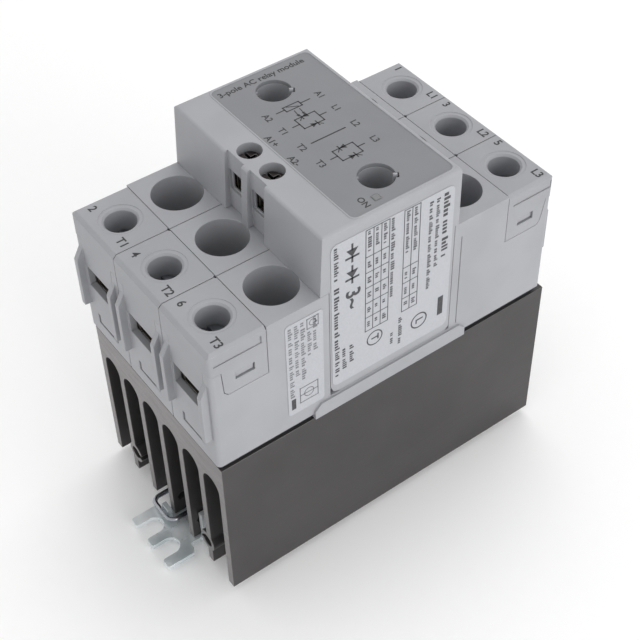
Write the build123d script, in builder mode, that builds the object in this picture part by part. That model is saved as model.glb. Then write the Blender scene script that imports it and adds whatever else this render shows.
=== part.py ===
from build123d import *
import math
import os

os.makedirs("parts", exist_ok=True)

# ---- frame: mm, +Z up, x and y from the middle of the heatsink ----
# Pieces are drawn with the fin tips at z = tip_z and raised as they are written, so that the rail
# seat on the tip of the middle fin is at z = 0.
# +X is the side that carries the rating label, -Y is the load end (T), +Y the line end (L)

# heatsink extrusion
sink_half_width = 26.8
sink_half_length = 45.8
tip_z = -2.6
sink_top_z = 40.8
fin_pitch = 8.6
fin_thickness = 1.9
outer_fin_thickness = 2.1
gap_apex_z = 33.4
port_x = 16.3
port_z = 4.0
port_radius = 1.7
port_wall = 1.1
port_slot = 1.4

# channel milled for a 35 mm top-hat rail
rail_near_y = -24.2
rail_far_y = 16.3
hook_depth = 2.6
rail_sheet = 1.15

# housing moulding
half_width = 27.0
pole_pitch = 18.0
housing_z = 42.6
deck_z = 76.8
cap_z = 70.5
corner_radius = 1.0
partition = 1.2
side_wall = 2.6
end_wall = 1.6
entry_half = 5.8
entry_z = 57.0
entry_top_z = 62.9
tongue_half = 6.4
big_hole_radius = 5.85
big_hole_depth = 24.0

# the two ends: y of the end face, direction outwards, then distances inwards from that face
ends = {
    "t": {
        "face": -46.4, "out": -1, "seam": 13.9, "screw": 7.1, "big": 21.4,
        "skirt_z": 63.6, "skirt_in": 3.2, "step_in": 2.8,
        "window": (6.0, 10.7), "groove_z": 73.3, "groove": (1.2, 12.35), "rib_out": 1.75,
        "rib": ((0.0, 50.7), (1.0, 50.9), (1.0, 64.4), (0.0, 67.6)),
    },
    "l": {
        "face": 44.3, "out": 1, "seam": 13.1, "screw": 6.6, "big": 20.6,
        "skirt_z": 63.8, "skirt_in": 2.9, "step_in": 1.6,
        "window": (5.2, 9.8), "groove_z": 73.5, "groove": (0.6, 11.5), "rib_out": 1.2,
        "rib": ((0.0, 52.9), (1.0, 53.4), (1.0, 64.6), (0.0, 67.0)),
    },
}
poles = {1: -pole_pitch, 2: 0.0, 3: pole_pitch}

# power terminal
cage_half = 5.7
cage_wall = 1.1
cage_floor_z = 55.0
cage_roof_z = 62.95
cage_top_z = 64.9
cage_in = (1.75, 12.4)
strap_thickness = 1.2
plate_z = (61.1, 62.7)
plate_in = (2.6, 11.0)
head_radius = 3.4
head_z = (68.6, 71.0)
shank_radius = 2.45
thread_radius = 2.5

# control terminal
control_x = 4.15
control_y = -14.35
control_half = 2.9
control_roof_z = (84.9, 85.9)
control_plate_z = (84.1, 84.8)
control_head_z = (88.2, 90.2)
control_shank = 1.45

dish_depth = 0.12

# centre cover
block_top_z = 92.2
block_back_y = 16.9
block_front_y = (-19.4, -18.6)
cheek_y = (-17.1, 15.9)
cheek_z = 45.7
cheek_thickness = 1.4
fixing_x = 18.15
fixing_y = 1.54
fixing_radius = 4.0
tube_radius = 4.7
pcb_z = (79.0, 80.6)
light_pipe_at = (23.4, -2.6)
key_angle = 57.0
key_half = 0.8

# rail latch
latch_x = (-2.45, 11.05)
latch_z = (-4.1, -2.9)
latch_sheet = 1.2
pin_radius = 1.2
pin_z = 2.9
pin_ys = (-40.0, -28.0)
latch_travel = 3.0


def at(end, inset):
    """Y of a point this far inwards from an end face."""
    return end["face"] - end["out"] * inset


def block(x0, x1, y0, y1, z0, z1, mode=Mode.ADD):
    """Box between two opposite corners."""
    with Locations(((x0 + x1) / 2, (y0 + y1) / 2, (z0 + z1) / 2)):
        Box(abs(x1 - x0), abs(y1 - y0), abs(z1 - z0), mode=mode)


def post(x, y, radius, z0, z1, mode=Mode.ADD):
    """Upright cylinder."""
    with Locations((x, y, (z0 + z1) / 2)):
        Cylinder(radius, abs(z1 - z0), mode=mode)


def side_profile(points, x0, x1, mode=Mode.ADD):
    """Outline of (y, z) points run along X."""
    with BuildSketch(Plane.YZ.offset(x0), mode=Mode.PRIVATE) as outline:
        with BuildLine():
            Polyline(*points, close=True)
        make_face()
    extrude(outline.sketch, amount=x1 - x0, mode=mode)


def rounded_slab(x0, x1, y0, y1, z0, z1, radius, mode=Mode.ADD):
    """Flat slab with rounded upright corners."""
    with BuildSketch(Plane.XY.offset(z0), mode=Mode.PRIVATE) as outline:
        with Locations(((x0 + x1) / 2, (y0 + y1) / 2)):
            RectangleRounded(abs(x1 - x0), abs(y1 - y0), radius)
    extrude(outline.sketch, amount=z1 - z0, mode=mode)


def save(builder, name):
    """Raise a finished piece so that the rail seat is at z = 0, label it and write it."""
    piece = builder.part.moved(Location((0, 0, -tip_z)))
    piece.label = name
    export_step(piece, f"parts/{name}.step")


# ---------------------------------------------------------------- heatsink
with BuildPart() as heatsink:
    with BuildSketch(Plane.XZ.offset(-sink_half_length)) as section:
        with Locations((0, (tip_z + sink_top_z) / 2)):
            Rectangle(2 * sink_half_width, sink_top_z - tip_z)
        for index in range(6):
            left = (index - 3) * fin_pitch + fin_thickness / 2
            right = (index - 2) * fin_pitch - fin_thickness / 2
            if index == 0:
                left = -sink_half_width + outer_fin_thickness
            if index == 5:
                right = sink_half_width - outer_fin_thickness
            radius = (right - left) / 2
            with Locations(((left + right) / 2, gap_apex_z - radius)):
                Circle(radius, mode=Mode.SUBTRACT)
            with Locations(((left + right) / 2, (tip_z - 1 + gap_apex_z - radius) / 2)):
                Rectangle(right - left, gap_apex_z - radius - tip_z + 1, mode=Mode.SUBTRACT)
        for side in (-1, 1):
            with Locations((side * port_x, port_z)):
                Circle(port_radius + port_wall)
                Circle(port_radius, mode=Mode.SUBTRACT)
            with Locations((side * (port_x - port_radius - port_wall / 2), port_z)):
                Rectangle(port_wall * 2.2, port_slot, mode=Mode.SUBTRACT)
    extrude(amount=2 * sink_half_length)
    # fixed rail hooks on the three middle fins, with a shallow relief over their lips and over the latch
    block(-22, 22, rail_far_y - 2.3, rail_far_y + 0.8, tip_z - 1, tip_z + 0.05, mode=Mode.SUBTRACT)
    block(-22, 22, -sink_half_length - 1, rail_near_y + 4.0, tip_z - 1, tip_z + 0.05, mode=Mode.SUBTRACT)
    for fin_x in (-fin_pitch, 0, fin_pitch):
        stem = fin_thickness / 2
        block(fin_x - stem, fin_x + stem, rail_far_y + 0.8, rail_far_y + 5.8, tip_z - hook_depth, tip_z)
        block(fin_x - stem, fin_x + stem, rail_far_y - 2.2, rail_far_y + 0.8, tip_z - hook_depth, tip_z - rail_sheet)
    for fin_x in (0, fin_pitch):
        for pin_y in pin_ys:
            with BuildSketch(Plane.YZ.offset(fin_x - fin_thickness)):
                with Locations((pin_y - latch_travel / 2, pin_z)):
                    SlotCenterToCenter(latch_travel, 2 * pin_radius + 0.4)
            extrude(amount=2 * fin_thickness, mode=Mode.SUBTRACT)
    for side in (-1, 1):
        post(side * fixing_x, fixing_y, 2.0, 33.8, sink_top_z + 1, mode=Mode.SUBTRACT)
save(heatsink, "heatsink")

# ------------------------------------------------ parts on the heatsink face
for pole in (1, 3):
    pole_x = poles[pole]
    screw_x = math.copysign(fixing_x, pole_x)
    with BuildPart() as thermal_pad:
        block(pole_x - 6, pole_x + 6, -32, 30.5, 40.8, 41.1)
        post(screw_x, fixing_y, 3.0, 40, 42, mode=Mode.SUBTRACT)
    save(thermal_pad, f"thermal_pad_{pole}")

    with BuildPart() as substrate:
        block(pole_x - 6, pole_x + 6, -32, 30.5, 41.1, 42.1)
        post(screw_x, fixing_y, 3.0, 40, 43, mode=Mode.SUBTRACT)
    save(substrate, f"ceramic_substrate_{pole}")

    with BuildPart() as thyristors:
        for chip_y in (-15.0, 14.0):
            block(pole_x - 4.2, pole_x + 4.2, chip_y - 4.2, chip_y + 4.2, 42.1, 42.5)
            block(pole_x - 1.2, pole_x + 1.2, chip_y - 3, chip_y + 3, 42.5, 42.9)
    save(thyristors, f"thyristors_{pole}")

    with BuildPart() as module_case:
        rounded_slab(pole_x - 6, pole_x + 6, -32, 30.5, 42.1, 44.6, 0.8)
        block(pole_x - 5, pole_x + 5, -31, -3.5, 42.0, 43.6, mode=Mode.SUBTRACT)
        block(pole_x - 5, pole_x + 5, 6.5, 29.5, 42.0, 43.6, mode=Mode.SUBTRACT)
        post(screw_x, fixing_y, 2.4, 41, 46, mode=Mode.SUBTRACT)
        for pin in range(4):
            post(pole_x - 3 + 2 * pin, -9, 0.5, 41, 46, mode=Mode.SUBTRACT)
    save(module_case, f"module_case_{pole}")

with BuildPart() as link_insulator:
    rounded_slab(-6, 6, -34.5, 32.5, 40.8, 43.3, 1.0)
    block(-4.6, 4.6, -36, 34, 42.9, 43.4, mode=Mode.SUBTRACT)
save(link_insulator, "link_insulator")

with BuildPart() as link_busbar:
    block(-4.5, 4.5, -34.5, 32.5, 42.9, 44.6)
save(link_busbar, "link_busbar_2")

with BuildPart() as module_frame:
    rounded_slab(-26.2, 26.2, -45.4, 43.4, sink_top_z, housing_z, 1.0)
    rounded_slab(-24.4, 24.4, -43.4, 41.4, sink_top_z - 1, housing_z + 1, 1.0, mode=Mode.SUBTRACT)
save(module_frame, "module_frame")


# --------------------------------------------------------- power terminals
def make_cage(end, x):
    """Screw cage bent from bar, with the strap that runs down to the power stage."""
    inner = cage_half - cage_wall
    with BuildPart() as cage:
        block(x - cage_half, x + cage_half, at(end, cage_in[0]), at(end, cage_in[1]), cage_floor_z, cage_top_z)
        block(x - inner, x + inner, at(end, 0), at(end, 14), entry_z, cage_roof_z, mode=Mode.SUBTRACT)
        post(x, at(end, end["screw"]), thread_radius, cage_roof_z - 1, cage_top_z + 1, mode=Mode.SUBTRACT)
        for groove in range(4):
            y = at(end, 3.2 + 1.4 * groove)
            side_profile(
                ((y - 0.3, entry_z), (y, entry_z - 0.3), (y + 0.3, entry_z)), x - 4, x + 4, mode=Mode.SUBTRACT
            )
        block(x - 4.5, x + 4.5, at(end, 11.2), at(end, 12.4), 44.6, cage_floor_z + 0.5)
        block(x - 4.5, x + 4.5, at(end, 11.2), at(end, 18.4), 44.6, 44.6 + strap_thickness)
        bends = cage.edges().filter_by(Axis.X).filter_by(
            lambda e: abs(e.center().Z - 44.6) < 0.01 and abs(e.center().Y - at(end, 11.2)) < 0.01
        )
        fillet(bends, 1.0)
    return cage


def make_clamp(end, x):
    """Pressure plate with a toothed underside and a seat for the screw's riveted tip."""
    with BuildPart() as clamp:
        block(x - 4.3, x + 4.3, at(end, plate_in[0]), at(end, plate_in[1]), plate_z[0], plate_z[1])
        chamfer(clamp.edges().filter_by(Axis.Z), 0.6)
        for tooth in range(5):
            y = at(end, 4.0 + 1.4 * tooth)
            side_profile(
                ((y - 0.4, plate_z[0]), (y, plate_z[0] + 0.4), (y + 0.4, plate_z[0])),
                x - 5, x + 5, mode=Mode.SUBTRACT,
            )
        post(x, at(end, end["screw"]), 1.6, plate_z[0], plate_z[1], mode=Mode.SUBTRACT)
        post(x, at(end, end["screw"]), 2.3, plate_z[0] - 0.1, plate_z[0] + 0.7, mode=Mode.SUBTRACT)
    return clamp


def make_screw(x, y, head_r, head, shank_r, plate, spigot_r, rivet_r, slot):
    """Cheese-head screw with a combined cross and slot, turned spigot and riveted tip."""
    depth = 0.55 * (head[1] - head[0])
    with BuildPart() as screw:
        post(x, y, head_r, head[0], head[1])
        chamfer(screw.edges().group_by(Axis.Z)[-1], 0.3)
        post(x, y, shank_r, plate[1] + 0.1, head[0])
        post(x, y, spigot_r, plate[0] + 0.15, plate[1] + 0.1)
        post(x, y, rivet_r, plate[0] + 0.15, plate[0] + 0.55)
        block(x - head_r, x + head_r, y - slot / 2, y + slot / 2, head[1] - depth, head[1] + 1, mode=Mode.SUBTRACT)
        block(
            x - slot / 2, x + slot / 2, y - 0.72 * head_r, y + 0.72 * head_r,
            head[1] - depth * 1.15, head[1] + 1, mode=Mode.SUBTRACT,
        )
    return screw


def make_cap(end, pole):
    """Snap-on terminal cap: hollow lid, screwdriver tube, tongue and, on outer poles, a side skirt."""
    x = poles[pole]
    screw_y = at(end, end["screw"])
    outer = {1: -1, 2: 0, 3: 1}[pole]
    x0 = x - pole_pitch / 2 + 0.12
    x1 = x + pole_pitch / 2 - 0.12
    if outer < 0:
        x0 = -half_width
    if outer > 0:
        x1 = half_width
    wall_0 = 1.4 if outer < 0 else 1.2
    wall_1 = 1.4 if outer > 0 else 1.2
    with BuildPart() as cap:
        block(x0, x1, at(end, 0), at(end, end["seam"] - 0.15), cap_z, deck_z)
        face_edges = cap.edges().filter_by(Axis.X).group_by(Axis.Z)[-1].sort_by(Axis.Y)
        chamfer(face_edges[0] if end["out"] < 0 else face_edges[-1], 0.9)
        if outer:
            side_edges = cap.edges().filter_by(Axis.Y).group_by(Axis.Z)[-1].sort_by(Axis.X)
            chamfer(side_edges[0] if outer < 0 else side_edges[-1], 0.7)
            uprights = cap.edges().filter_by(Axis.Z).filter_by(
                lambda e: abs(e.center().X - outer * half_width) < 0.01
                and abs(e.center().Y - at(end, 0)) < 0.01
            )
            fillet(uprights, 0.7)
        block(
            x0 + wall_0, x1 - wall_1, at(end, 1.3), at(end, end["seam"] - 1.35),
            cap_z - 1, deck_z - 1.9, mode=Mode.SUBTRACT,
        )
        post(x, screw_y, 4.6, 68.3, deck_z - 1.0)
        block(x - tongue_half, x + tongue_half, at(end, 0), at(end, 1.3), entry_top_z + 0.1, cap_z + 1)
        post(x, screw_y, 4.9, deck_z - dish_depth, deck_z + 1, mode=Mode.SUBTRACT)
        post(x, screw_y, 3.6, 60, deck_z + 1, mode=Mode.SUBTRACT)
        with Locations((x, screw_y, deck_z - dish_depth - 0.25)):
            Cone(3.6, 4.1, 0.5, mode=Mode.SUBTRACT)
        for corner_x in (x0, x1):
            if abs(corner_x) < half_width - 0.5:
                post(corner_x, at(end, end["seam"] - 0.15), 0.4, cap_z - 1, deck_z + 1, mode=Mode.SUBTRACT)
        if outer:
            inner_x = outer * (half_width - 1.35)
            outer_x = outer * half_width
            low = (at(end, end["seam"] - 0.15), end["skirt_z"])
            skirt = (
                (at(end, end["seam"] - 0.15), cap_z + 0.5),
                low,
                (at(end, end["skirt_in"] + 0.9), end["skirt_z"]),
                (at(end, end["skirt_in"]), end["skirt_z"] + 0.9),
                (at(end, end["step_in"]), cap_z + 0.5),
            )
            side_profile(skirt, min(inner_x, outer_x), max(inner_x, outer_x))
            near, far = end["window"]
            block(
                inner_x - outer, outer_x + outer, at(end, near), at(end, far), 66.75, 68.85, mode=Mode.SUBTRACT
            )
            near, far = end["groove"]
            y_up = at(end, far if end["out"] < 0 else near)
            block(
                outer_x - outer * 0.3, outer_x + outer, at(end, near), at(end, far),
                end["groove_z"] - 0.25, end["groove_z"] + 0.25, mode=Mode.SUBTRACT,
            )
            block(
                outer_x - outer * 0.3, outer_x + outer, y_up - 0.25, y_up + 0.25,
                end["groove_z"] - 0.25, end["groove_z"] + 1.8, mode=Mode.SUBTRACT,
            )
    return cap


for end_name, end in ends.items():
    for pole, x in poles.items():
        mark = f"{end_name}{pole}"
        save(make_cage(end, x), f"terminal_cage_{mark}")
        save(make_clamp(end, x), f"clamp_plate_{mark}")
        power_screw = make_screw(
            x, at(end, end["screw"]), head_radius, head_z, shank_radius, plate_z, 1.5, 2.1, 1.0
        )
        save(power_screw, f"power_screw_{mark}")
        save(make_cap(end, pole), f"terminal_cap_{mark}")

# ----------------------------------------------------------------- housing
with BuildPart() as housing:
    rounded_slab(-half_width, half_width, ends["t"]["face"], ends["l"]["face"], housing_z, deck_z, corner_radius)
    for pole, x in poles.items():
        x0 = x - pole_pitch / 2 + partition / 2
        x1 = x + pole_pitch / 2 - partition / 2
        if pole == 1:
            x0 = -half_width + side_wall
        if pole == 3:
            x1 = half_width - side_wall
        block(
            x0, x1, at(ends["t"], end_wall), at(ends["l"], end_wall), housing_z - 1, deck_z - 2, mode=Mode.SUBTRACT
        )
    for end in ends.values():
        face_y = at(end, -3)
        block(-40, 40, face_y, at(end, end["seam"]), cap_z - 0.05, deck_z + 1, mode=Mode.SUBTRACT)
        for x in poles.values():
            big_y = at(end, end["big"])
            floor = deck_z - big_hole_depth
            x_in = min(abs(x) + 8.4, half_width - side_wall)
            block(
                x - 8.4 if x >= 0 else -x_in, x + 8.4 if x <= 0 else x_in,
                at(end, end["seam"]), at(end, end["seam"] + 1.2), 53.8, deck_z - 1,
            )
            block(x - 8.4, x + 8.4, at(end, 1), at(end, 10.9), 53.6, 54.8)
            post(x, big_y, big_hole_radius + 1.2, floor - 1.2, deck_z)
            post(x, big_y, big_hole_radius, floor, deck_z + 1, mode=Mode.SUBTRACT)
            block(x - entry_half, x + entry_half, face_y, at(end, 1.7), entry_z, cap_z + 1, mode=Mode.SUBTRACT)
            block(
                x - tongue_half - 0.1, x + tongue_half + 0.1, face_y, at(end, 1.7),
                entry_top_z, cap_z + 1, mode=Mode.SUBTRACT,
            )
            for rib_x0, rib_x1 in ((-8.0, -6.6), (6.4, 7.7)):
                rib = [(end["face"] + end["out"] * end["rib_out"] * u, z) for u, z in end["rib"]]
                rib = [(at(end, 0.5), rib[0][1])] + rib + [(at(end, 0.5), rib[-1][1])]
                side_profile(rib, x + rib_x0, x + rib_x1)
            block(x - 4.4, x - 3.4, face_y, at(end, 1.0), 46.0, 49.0, mode=Mode.SUBTRACT)
            block(x - 4.4, x + 4.3, face_y, at(end, 1.0), 46.0, 46.8, mode=Mode.SUBTRACT)
        for seam_x in (-9, 9):
            block(
                seam_x - 0.15, seam_x + 0.15, face_y, at(end, 0.4), housing_z - 1, cap_z + 1, mode=Mode.SUBTRACT
            )
            block(
                seam_x - 0.12, seam_x + 0.12, at(end, end["seam"]), at(end, end["seam"] + 15),
                deck_z - 0.4, deck_z + 1, mode=Mode.SUBTRACT,
            )
        for side in (-1, 1):
            recess_x = side * (half_width - 1.4)
            out_x = side * (half_width + 1)
            recess = (
                (at(end, end["seam"]), cap_z + 0.5),
                (at(end, end["seam"]), end["skirt_z"] - 0.15),
                (at(end, end["skirt_in"] + 0.8), end["skirt_z"] - 0.15),
                (at(end, end["skirt_in"] - 0.15), end["skirt_z"] + 0.8),
                (at(end, end["step_in"] - 0.15), cap_z + 0.5),
            )
            side_profile(recess, min(recess_x, out_x), max(recess_x, out_x), mode=Mode.SUBTRACT)
            near, far = end["window"]
            block(
                recess_x - side * 0.2, side * (half_width - 0.45), at(end, near + 0.2), at(end, far - 0.2), 67.0, 68.6
            )
    for side in (-1, 1):
        inner_x = side * (half_width - cheek_thickness - 0.05)
        outer_x = side * (half_width + 1)
        block(
            inner_x, outer_x, cheek_y[0] - 0.15, cheek_y[1] + 0.15, cheek_z - 0.15, deck_z + 1, mode=Mode.SUBTRACT
        )
        lip = ((-21.7, 41.3), (-21.7, 43.6), (-20.0, 45.3), (18.8, 45.3), (20.5, 43.6), (20.5, 41.3))
        side_profile(lip, min(side * 26.35, side * 27.6), max(side * 26.35, side * 27.6))
        block(
            side * (half_width - 0.2), outer_x, 17.95, 18.25, 46.1, 72.7, mode=Mode.SUBTRACT
        )
    block(-22, 22, -15, 14, deck_z - 3, deck_z + 1, mode=Mode.SUBTRACT)
    for side in (-1, 1):
        fix_x = side * fixing_x
        post(fix_x, fixing_y, 5.0, 44.6, deck_z)
        post(fix_x, fixing_y, fixing_radius, 47.0, deck_z + 1, mode=Mode.SUBTRACT)
        post(fix_x, fixing_y, 2.3, 44, 48, mode=Mode.SUBTRACT)
        block(side * 22.8, side * 24.8, fixing_y - 0.6, fixing_y + 0.6, 46, deck_z - 1)
        for post_y in (-13.5, 12.5):
            post(side * 23.6, post_y, 1.2, deck_z - 0.5, pcb_z[0])
save(housing, "housing")

# ------------------------------------------------------------ centre cover
with BuildPart() as cover:
    body = (
        (block_front_y[0], deck_z + 0.05),
        (block_front_y[1], block_top_z),
        (block_back_y, block_top_z),
        (block_back_y, deck_z + 0.05),
    )
    side_profile(body, -half_width, half_width)
    fillet(cover.edges().group_by(Axis.Z)[-1], 0.7)
    block(-25.5, 25.5, -16.8, 15.4, deck_z - 1, 90.0, mode=Mode.SUBTRACT)
    for side in (-1, 1):
        outer_x = side * half_width
        inner_x = side * (half_width - cheek_thickness)
        cheek = (
            (cheek_y[0], deck_z + 2), (cheek_y[0], cheek_z + 2.5), (cheek_y[0] + 0.7, cheek_z + 0.7),
            (cheek_y[0] + 2.5, cheek_z), (cheek_y[1] - 1, cheek_z), (cheek_y[1], cheek_z + 1),
            (cheek_y[1], deck_z + 2),
        )
        side_profile(cheek, min(inner_x, outer_x), max(inner_x, outer_x))
        fix_x = side * fixing_x
        post(fix_x, fixing_y, tube_radius, 77.0, 91.0)
        hole_x = side * control_x
        post(hole_x, control_y, 3.5, 88.6, 90.5)
        block(
            hole_x - 3.1, hole_x + 3.1, -21, -17.8, deck_z - 1, block_top_z + 1, mode=Mode.SUBTRACT
        )
        block(hole_x - 3.0, hole_x + 3.0, -21, -17.2, 81.8, 87.3, mode=Mode.SUBTRACT)
        block(hole_x - 2.6, hole_x + 2.6, -21, -16.0, 82.1, 86.9, mode=Mode.SUBTRACT)
        post(hole_x, control_y, 2.75, 85.8, block_top_z + 1, mode=Mode.SUBTRACT)
    rounded_slab(-26.1, 26.1, -10.45, 15.95, 91.2, block_top_z + 1, 1.5, mode=Mode.SUBTRACT)
    for side in (-1, 1):
        post(side * fixing_x, fixing_y, fixing_radius, 76, block_top_z + 1, mode=Mode.SUBTRACT)
        key_x = side * fixing_x + (fixing_radius - 0.2) * math.cos(math.radians(key_angle))
        key_y = fixing_y + (fixing_radius - 0.2) * math.sin(math.radians(key_angle))
        with Locations(Location((key_x, key_y, 87.0), (0, 0, key_angle))):
            Box(1.6, 2 * key_half, 14.0, mode=Mode.SUBTRACT)
            Box(0.9, 0.5, 11.0)
        nub_angle = math.radians(key_angle + 165)
        post(
            side * fixing_x + fixing_radius * math.cos(nub_angle), fixing_y + fixing_radius * math.sin(nub_angle),
            0.35, 84.0, 91.1,
        )
    block(
        light_pipe_at[0] - 0.85, light_pipe_at[0] + 0.85, light_pipe_at[1] - 0.85, light_pipe_at[1] + 0.85,
        85, block_top_z + 1, mode=Mode.SUBTRACT,
    )
save(cover, "centre_cover")

with BuildPart() as fascia:
    rounded_slab(-26.0, 26.0, -10.35, 15.85, 91.2, 92.15, 1.4)
    for side in (-1, 1):
        post(side * fixing_x, fixing_y, fixing_radius, 90, 94, mode=Mode.SUBTRACT)
        key_x = side * fixing_x + (fixing_radius - 0.2) * math.cos(math.radians(key_angle))
        key_y = fixing_y + (fixing_radius - 0.2) * math.sin(math.radians(key_angle))
        with Locations(Location((key_x, key_y, 92.0), (0, 0, key_angle))):
            Box(1.6, 2 * key_half, 4.0, mode=Mode.SUBTRACT)
    block(
        light_pipe_at[0] - 0.85, light_pipe_at[0] + 0.85, light_pipe_at[1] - 0.85, light_pipe_at[1] + 0.85,
        90, 94, mode=Mode.SUBTRACT,
    )
save(fascia, "fascia_plate")

with BuildPart() as rating_label:
    with BuildSketch(Plane.YZ.offset(half_width)):
        with Locations((-0.8, 68.6)):
            RectangleRounded(31.8, 41.0, 1.6)
    extrude(amount=0.12)
save(rating_label, "rating_label")

with BuildPart() as small_label:
    with BuildSketch(Plane.YZ.offset(half_width)):
        with Locations((-23.6, 60.1)):
            RectangleRounded(9.35, 27.4, 0.8)
    extrude(amount=0.12)
save(small_label, "connection_label")

# -------------------------------------------------------- control electronics
with BuildPart() as control_pcb:
    block(-25.0, 25.0, -16.5, 14.9, pcb_z[0], pcb_z[1])
    for side in (-1, 1):
        post(side * fixing_x, fixing_y, tube_radius + 0.1, 78, 82, mode=Mode.SUBTRACT)
        for pin in range(4):
            post(side * pole_pitch - 3 + 2 * pin, -9, 0.5, 78, 82, mode=Mode.SUBTRACT)
save(control_pcb, "control_pcb")

with BuildPart() as gate_pins:
    for side in (-1, 1):
        for pin in range(4):
            post(side * pole_pitch - 3 + 2 * pin, -9, 0.35, 43.0, 82.0)
save(gate_pins, "gate_pins")

with BuildPart() as optocouplers:
    for side in (-1, 1):
        block(side * 4.2 - 3.2, side * 4.2 + 3.2, -3.4, 5.4, 81.0, 84.4)
        for leg in range(3):
            for edge in (-1, 1):
                leg_x = side * 4.2 + edge * 3.4
                block(leg_x - 0.2, leg_x + 0.2, -2 + 2.54 * leg, -1.5 + 2.54 * leg, 80.6, 82.6)
save(optocouplers, "optocouplers")

with BuildPart() as varistors:
    for side in (-1, 1):
        with BuildSketch(Plane.YZ.offset(side * 11.5 - 1.7)):
            with Locations((-7.2, 85.3)):
                Circle(4.1)
        extrude(amount=3.4)
        for leg in (-1, 1):
            post(side * 11.5, -7.2 + 2.5 * leg, 0.35, 80.6, 83.0)
save(varistors, "varistors")

with BuildPart() as snubbers:
    for side in (-1, 1):
        block(side * 6 - 4.5, side * 6 + 4.5, 8.2, 13.2, 80.6, 87.6)
    fillet(snubbers.edges().filter_by(Axis.Z), 0.6)
save(snubbers, "snubber_capacitors")

with BuildPart() as led:
    block(light_pipe_at[0] - 0.8, light_pipe_at[0] + 0.8, light_pipe_at[1] - 0.8, light_pipe_at[1] + 0.8, 80.6, 82.2)
save(led, "status_led")

with BuildPart() as light_pipe:
    block(light_pipe_at[0] - 0.8, light_pipe_at[0] + 0.8, light_pipe_at[1] - 0.8, light_pipe_at[1] + 0.8, 82.4, 92.35)
    chamfer(light_pipe.edges().group_by(Axis.Z)[-1], 0.15)
save(light_pipe, "light_pipe")

for number, side in ((1, -1), (2, 1)):
    x = side * control_x
    with BuildPart() as control_cage:
        block(x - control_half, x + control_half, -16.4, -12.0, pcb_z[1], control_roof_z[1])
        block(x - 2.2, x + 2.2, -18, -11, 81.6, control_roof_z[0], mode=Mode.SUBTRACT)
        post(x, control_y, 1.5, 84, 87, mode=Mode.SUBTRACT)
    save(control_cage, f"control_cage_a{number}")
    with BuildPart() as control_clamp:
        block(x - 2.0, x + 2.0, -16.2, -12.3, control_plate_z[0], control_plate_z[1])
        post(x, control_y, 1.05, 84, 85, mode=Mode.SUBTRACT)
        post(x, control_y, 1.55, control_plate_z[0] - 0.1, control_plate_z[0] + 0.4, mode=Mode.SUBTRACT)
    save(control_clamp, f"control_clamp_a{number}")
    with BuildPart() as control_screw:
        post(x, control_y, 2.5, control_head_z[0], control_head_z[1])
        chamfer(control_screw.edges().group_by(Axis.Z)[-1], 0.25)
        post(x, control_y, control_shank, control_plate_z[1] + 0.05, control_head_z[0])
        post(x, control_y, 0.95, control_plate_z[0] + 0.05, control_plate_z[1] + 0.05)
        post(x, control_y, 1.4, control_plate_z[0] + 0.05, control_plate_z[0] + 0.3)
        block(x - 2.6, x + 2.6, control_y - 0.35, control_y + 0.35, 89.0, 91, mode=Mode.SUBTRACT)
        block(x - 0.35, x + 0.35, control_y - 1.7, control_y + 1.7, 88.9, 91, mode=Mode.SUBTRACT)
    save(control_screw, f"control_screw_a{number}")

with BuildPart() as housing_screws:
    for side in (-1, 1):
        x = side * fixing_x
        post(x, fixing_y, 3.4, 47.0, 49.4)
        post(x, fixing_y, 1.95, 35.0, 47.0)
        block(x - 3.5, x + 3.5, fixing_y - 0.45, fixing_y + 0.45, 48.2, 50, mode=Mode.SUBTRACT)
        block(x - 0.45, x + 0.45, fixing_y - 2.3, fixing_y + 2.3, 48.0, 50, mode=Mode.SUBTRACT)
save(housing_screws, "housing_screws")

# -------------------------------------------------------------- rail latch
with BuildPart() as rail_latch:
    mid_x = (latch_x[0] + latch_x[1]) / 2
    block(latch_x[0], latch_x[1], -44.2, -20.6, latch_z[0], latch_z[1])
    block(-1.7, 10.3, -48.0, -44.2, latch_z[0], latch_z[1])
    with BuildSketch(Plane.XY.offset(latch_z[0])):
        with BuildLine():
            Polyline((mid_x - 8.7, -55.2), (mid_x + 8.7, -55.2), (mid_x + 8.7, -48.2), (mid_x + 7.6, -47.4),
                     (mid_x - 7.6, -47.4), (mid_x - 8.7, -48.2), close=True)
        make_face()
        for slot_x in (mid_x - 3.675, mid_x + 3.675):
            with Locations((slot_x, -49.3 - 2.325)):
                Circle(2.325, mode=Mode.SUBTRACT)
            with Locations((slot_x, -54.125)):
                Rectangle(4.65, 5.0, mode=Mode.SUBTRACT)
    extrude(amount=latch_sheet)
    fillet(rail_latch.edges().filter_by(Axis.Z).group_by(Axis.Y)[0], 0.6)
    for wing_x in (latch_x[0], latch_x[1] - latch_sheet):
        block(wing_x, wing_x + latch_sheet, -44.0, -24.5, latch_z[0], 6.2)
    block(1.3, 7.3, -21.8, -20.6, -4.9, latch_z[1])
    block(1.3, 7.3, -21.8, -15.6, -4.9, -3.75)
    block(-1.6, 1.2, -47.85, -46.65, latch_z[0], 0.4)
    for pin_y in pin_ys:
        with BuildSketch(Plane.YZ.offset(latch_x[0] - 1)):
            with Locations((pin_y, pin_z)):
                Circle(pin_radius)
        extrude(amount=latch_x[1] - latch_x[0] + 2, mode=Mode.SUBTRACT)
save(rail_latch, "rail_latch")

with BuildPart() as latch_pins:
    for pin_y in pin_ys:
        with BuildSketch(Plane.YZ.offset(latch_x[0] - 0.2)):
            with Locations((pin_y, pin_z)):
                Circle(pin_radius)
        extrude(amount=latch_x[1] - latch_x[0] + 0.4)
save(latch_pins, "latch_pins")

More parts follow.
